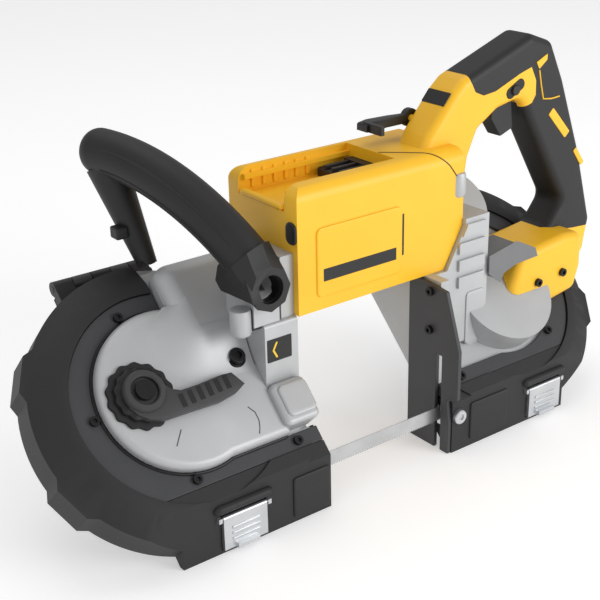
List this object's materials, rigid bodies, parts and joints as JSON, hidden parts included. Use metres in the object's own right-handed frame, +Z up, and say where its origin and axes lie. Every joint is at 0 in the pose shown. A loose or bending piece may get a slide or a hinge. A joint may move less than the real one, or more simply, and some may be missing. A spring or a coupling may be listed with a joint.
{
  "type": "portable band saw",
  "caption": "Hand held cordless band saw: leaning twin-wheel deck with open throat, rear D-handle with trigger, front tube handle, tension lever, battery dock.",
  "frame": {"origin": "middle of the bounding box at floor level", "axes": "+X along the blade towards the drive wheel and rear handle, +Y away from the front panel, +Z up"},
  "size_m": [0.5775, 0.2049, 0.3353],
  "materials": {
    "cast_aluminium": "satin cast",
    "yellow_plastic": "moulded satin",
    "black_rubber": "matt",
    "black_plastic": "satin",
    "dark_plate": "satin",
    "bright_steel": "brushed",
    "black_steel": "black oxide",
    "blade_steel": "ground",
    "wheel_aluminium": "turned",
    "tyre_rubber": "matt",
    "motor_steel": "laminated"
  },
  "bodies": {
    "frame": {"frame_casting": "cast_aluminium", "gear_case": "cast_aluminium", "tension_cover": "cast_aluminium", "left_gusset": "cast_aluminium", "housing_front": "yellow_plastic", "housing_rear": "yellow_plastic", "bumper_left": "black_rubber", "bumper_right": "black_rubber", "grip_skin_front": "black_rubber", "grip_skin_rear": "black_rubber", "front_handle": "black_plastic", "hinge_bar_left": "black_plastic", "hinge_bar_right": "black_plastic", "terminal_block": "black_plastic", "switch_body": "black_plastic", "return_run_cover": "black_plastic", "ring_flange_left": "dark_plate", "ring_flange_right": "dark_plate", "work_stop": "dark_plate", "guide_bracket_left": "dark_plate", "guide_bracket_right": "dark_plate", "lever_bolt": "bright_steel", "guide_pins": "bright_steel", "guard_hinge_pins": "bright_steel", "latch_mounts": "bright_steel", "shaft_bearings": "bright_steel", "motor_bearings": "bright_steel", "tension_spring": "bright_steel", "cap_screws": "black_steel", "blade": "blade_steel", "motor_stator": "motor_steel"},
    "drive": {"drive_wheel": "wheel_aluminium", "drive_tyre": "tyre_rubber", "drive_shaft": "bright_steel", "final_gear": "bright_steel"},
    "second": {"second_shaft": "bright_steel", "second_gear": "bright_steel"},
    "first": {"first_shaft": "bright_steel", "bevel_gear": "bright_steel"},
    "rotor": {"motor_rotor": "motor_steel"},
    "carriage": {"tension_carriage": "bright_steel", "idler_axle": "bright_steel"},
    "idler": {"idler_wheel": "wheel_aluminium", "idler_tyre": "tyre_rubber", "idler_bearings": "bright_steel"},
    "lever": {"tension_lever": "black_plastic"},
    "guard_left": {"wheel_guard_left": "black_plastic"},
    "guard_right": {"wheel_guard_right": "black_plastic"},
    "latch_left": {"latch_left": "bright_steel"},
    "latch_right": {"latch_right": "bright_steel"},
    "trigger": {"trigger": "black_plastic"},
    "lock": {"lock_off_button": "black_plastic"},
    "hook": {"hang_hook": "black_plastic"},
    "front_roller_left": {"front_roller_left": "bright_steel"},
    "rear_roller_left": {"rear_roller_left": "bright_steel"},
    "backup_roller_left": {"backup_roller_left": "bright_steel"},
    "front_roller_right": {"front_roller_right": "bright_steel"},
    "rear_roller_right": {"rear_roller_right": "bright_steel"},
    "backup_roller_right": {"backup_roller_right": "bright_steel"}
  },
  "joints": [
    {"name": "drive_wheel_spin", "type": "hinge", "parent": "frame", "child": "drive", "pos_m": [0.15668, -0.01495, 0.07852], "axis": [0, -0.7071, 0.7071], "continuous": true},
    {"name": "tension_slide", "type": "slide", "parent": "frame", "child": "carriage", "axis": [1, 0, 0], "range_m": [0, 0.008], "deforming": ["tension_spring"]},
    {"name": "idler_wheel_spin", "type": "hinge", "parent": "carriage", "child": "idler", "pos_m": [-0.17382, -0.01495, 0.07852], "axis": [0, -0.7071, 0.7071], "continuous": true},
    {"name": "second_shaft_spin", "type": "hinge", "parent": "frame", "child": "second", "pos_m": [0.11949, 0.01466, 0.10813], "axis": [0, -0.7071, 0.7071], "continuous": true},
    {"name": "first_shaft_spin", "type": "hinge", "parent": "frame", "child": "first", "pos_m": [0.12343, 0.04103, 0.1345], "axis": [0, -0.7071, 0.7071], "continuous": true},
    {"name": "motor_spin", "type": "hinge", "parent": "frame", "child": "rotor", "pos_m": [-0.00857, -0.01947, 0.195], "axis": [1, 0, 0], "continuous": true},
    {"name": "tension_lever_turn", "type": "hinge", "parent": "frame", "child": "lever", "pos_m": [-0.20857, -0.03761, 0.12233], "axis": [0, -0.7071, 0.7071], "range_deg": [-170.5, 0.5]},
    {"name": "wheel_guard_left_hinge", "type": "hinge", "parent": "frame", "child": "guard_left", "pos_m": [-0.00857, 0.07998, 0.17161], "axis": [1, 0, 0], "range_deg": [0, 100]},
    {"name": "latch_left_turn", "type": "hinge", "parent": "frame", "child": "latch_left", "pos_m": [-0.00857, -0.09477, 0.031], "axis": [-1, 0, 0], "range_deg": [0, 100]},
    {"name": "front_roller_left_spin", "type": "hinge", "parent": "frame", "child": "front_roller_left", "pos_m": [-0.07957, -0.08227, 0.03401], "axis": [0, 0, 1], "continuous": true},
    {"name": "rear_roller_left_spin", "type": "hinge", "parent": "frame", "child": "rear_roller_left", "pos_m": [-0.07957, -0.07567, 0.03401], "axis": [0, 0, 1], "continuous": true},
    {"name": "backup_roller_left_spin", "type": "hinge", "parent": "frame", "child": "backup_roller_left", "pos_m": [-0.09157, -0.07897, 0.04441], "axis": [0, 1, 0], "continuous": true},
    {"name": "wheel_guard_right_hinge", "type": "hinge", "parent": "frame", "child": "guard_right", "pos_m": [-0.00857, 0.07998, 0.17161], "axis": [1, 0, 0], "range_deg": [0, 100]},
    {"name": "latch_right_turn", "type": "hinge", "parent": "frame", "child": "latch_right", "pos_m": [-0.00857, -0.09477, 0.031], "axis": [-1, 0, 0], "range_deg": [0, 100]},
    {"name": "front_roller_right_spin", "type": "hinge", "parent": "frame", "child": "front_roller_right", "pos_m": [0.06243, -0.08227, 0.03401], "axis": [0, 0, 1], "continuous": true},
    {"name": "rear_roller_right_spin", "type": "hinge", "parent": "frame", "child": "rear_roller_right", "pos_m": [0.06243, -0.07567, 0.03401], "axis": [0, 0, 1], "continuous": true},
    {"name": "backup_roller_right_spin", "type": "hinge", "parent": "frame", "child": "backup_roller_right", "pos_m": [0.07443, -0.07897, 0.04441], "axis": [0, 1, 0], "continuous": true},
    {"name": "trigger_slide", "type": "slide", "parent": "frame", "child": "trigger", "axis": [1, 0, 0], "range_m": [0, 0.007], "stiffness_N_per_m": 600, "springref_m": -0.003},
    {"name": "lock_off_slide", "type": "slide", "parent": "frame", "child": "lock", "axis": [0, 1, 0], "range_m": [0, 0.004], "stiffness_N_per_m": 400, "springref_m": -0.002},
    {"name": "hang_hook_turn", "type": "hinge", "parent": "frame", "child": "hook", "pos_m": [0.08837, -0.00147, 0.274], "axis": [0, 1, 0], "range_deg": [0, 90]}
  ],
  "couplings": [
    {"joint": "idler_wheel_spin", "follows": "drive_wheel_spin", "ratio": 1},
    {"joint": "second_shaft_spin", "follows": "drive_wheel_spin", "ratio": -3.3077},
    {"joint": "first_shaft_spin", "follows": "drive_wheel_spin", "ratio": 8.5055},
    {"joint": "motor_spin", "follows": "drive_wheel_spin", "ratio": -25.516},
    {"joint": "tension_lever_turn", "follows": "tension_slide", "rad_per_m": -370.88}
  ]
}
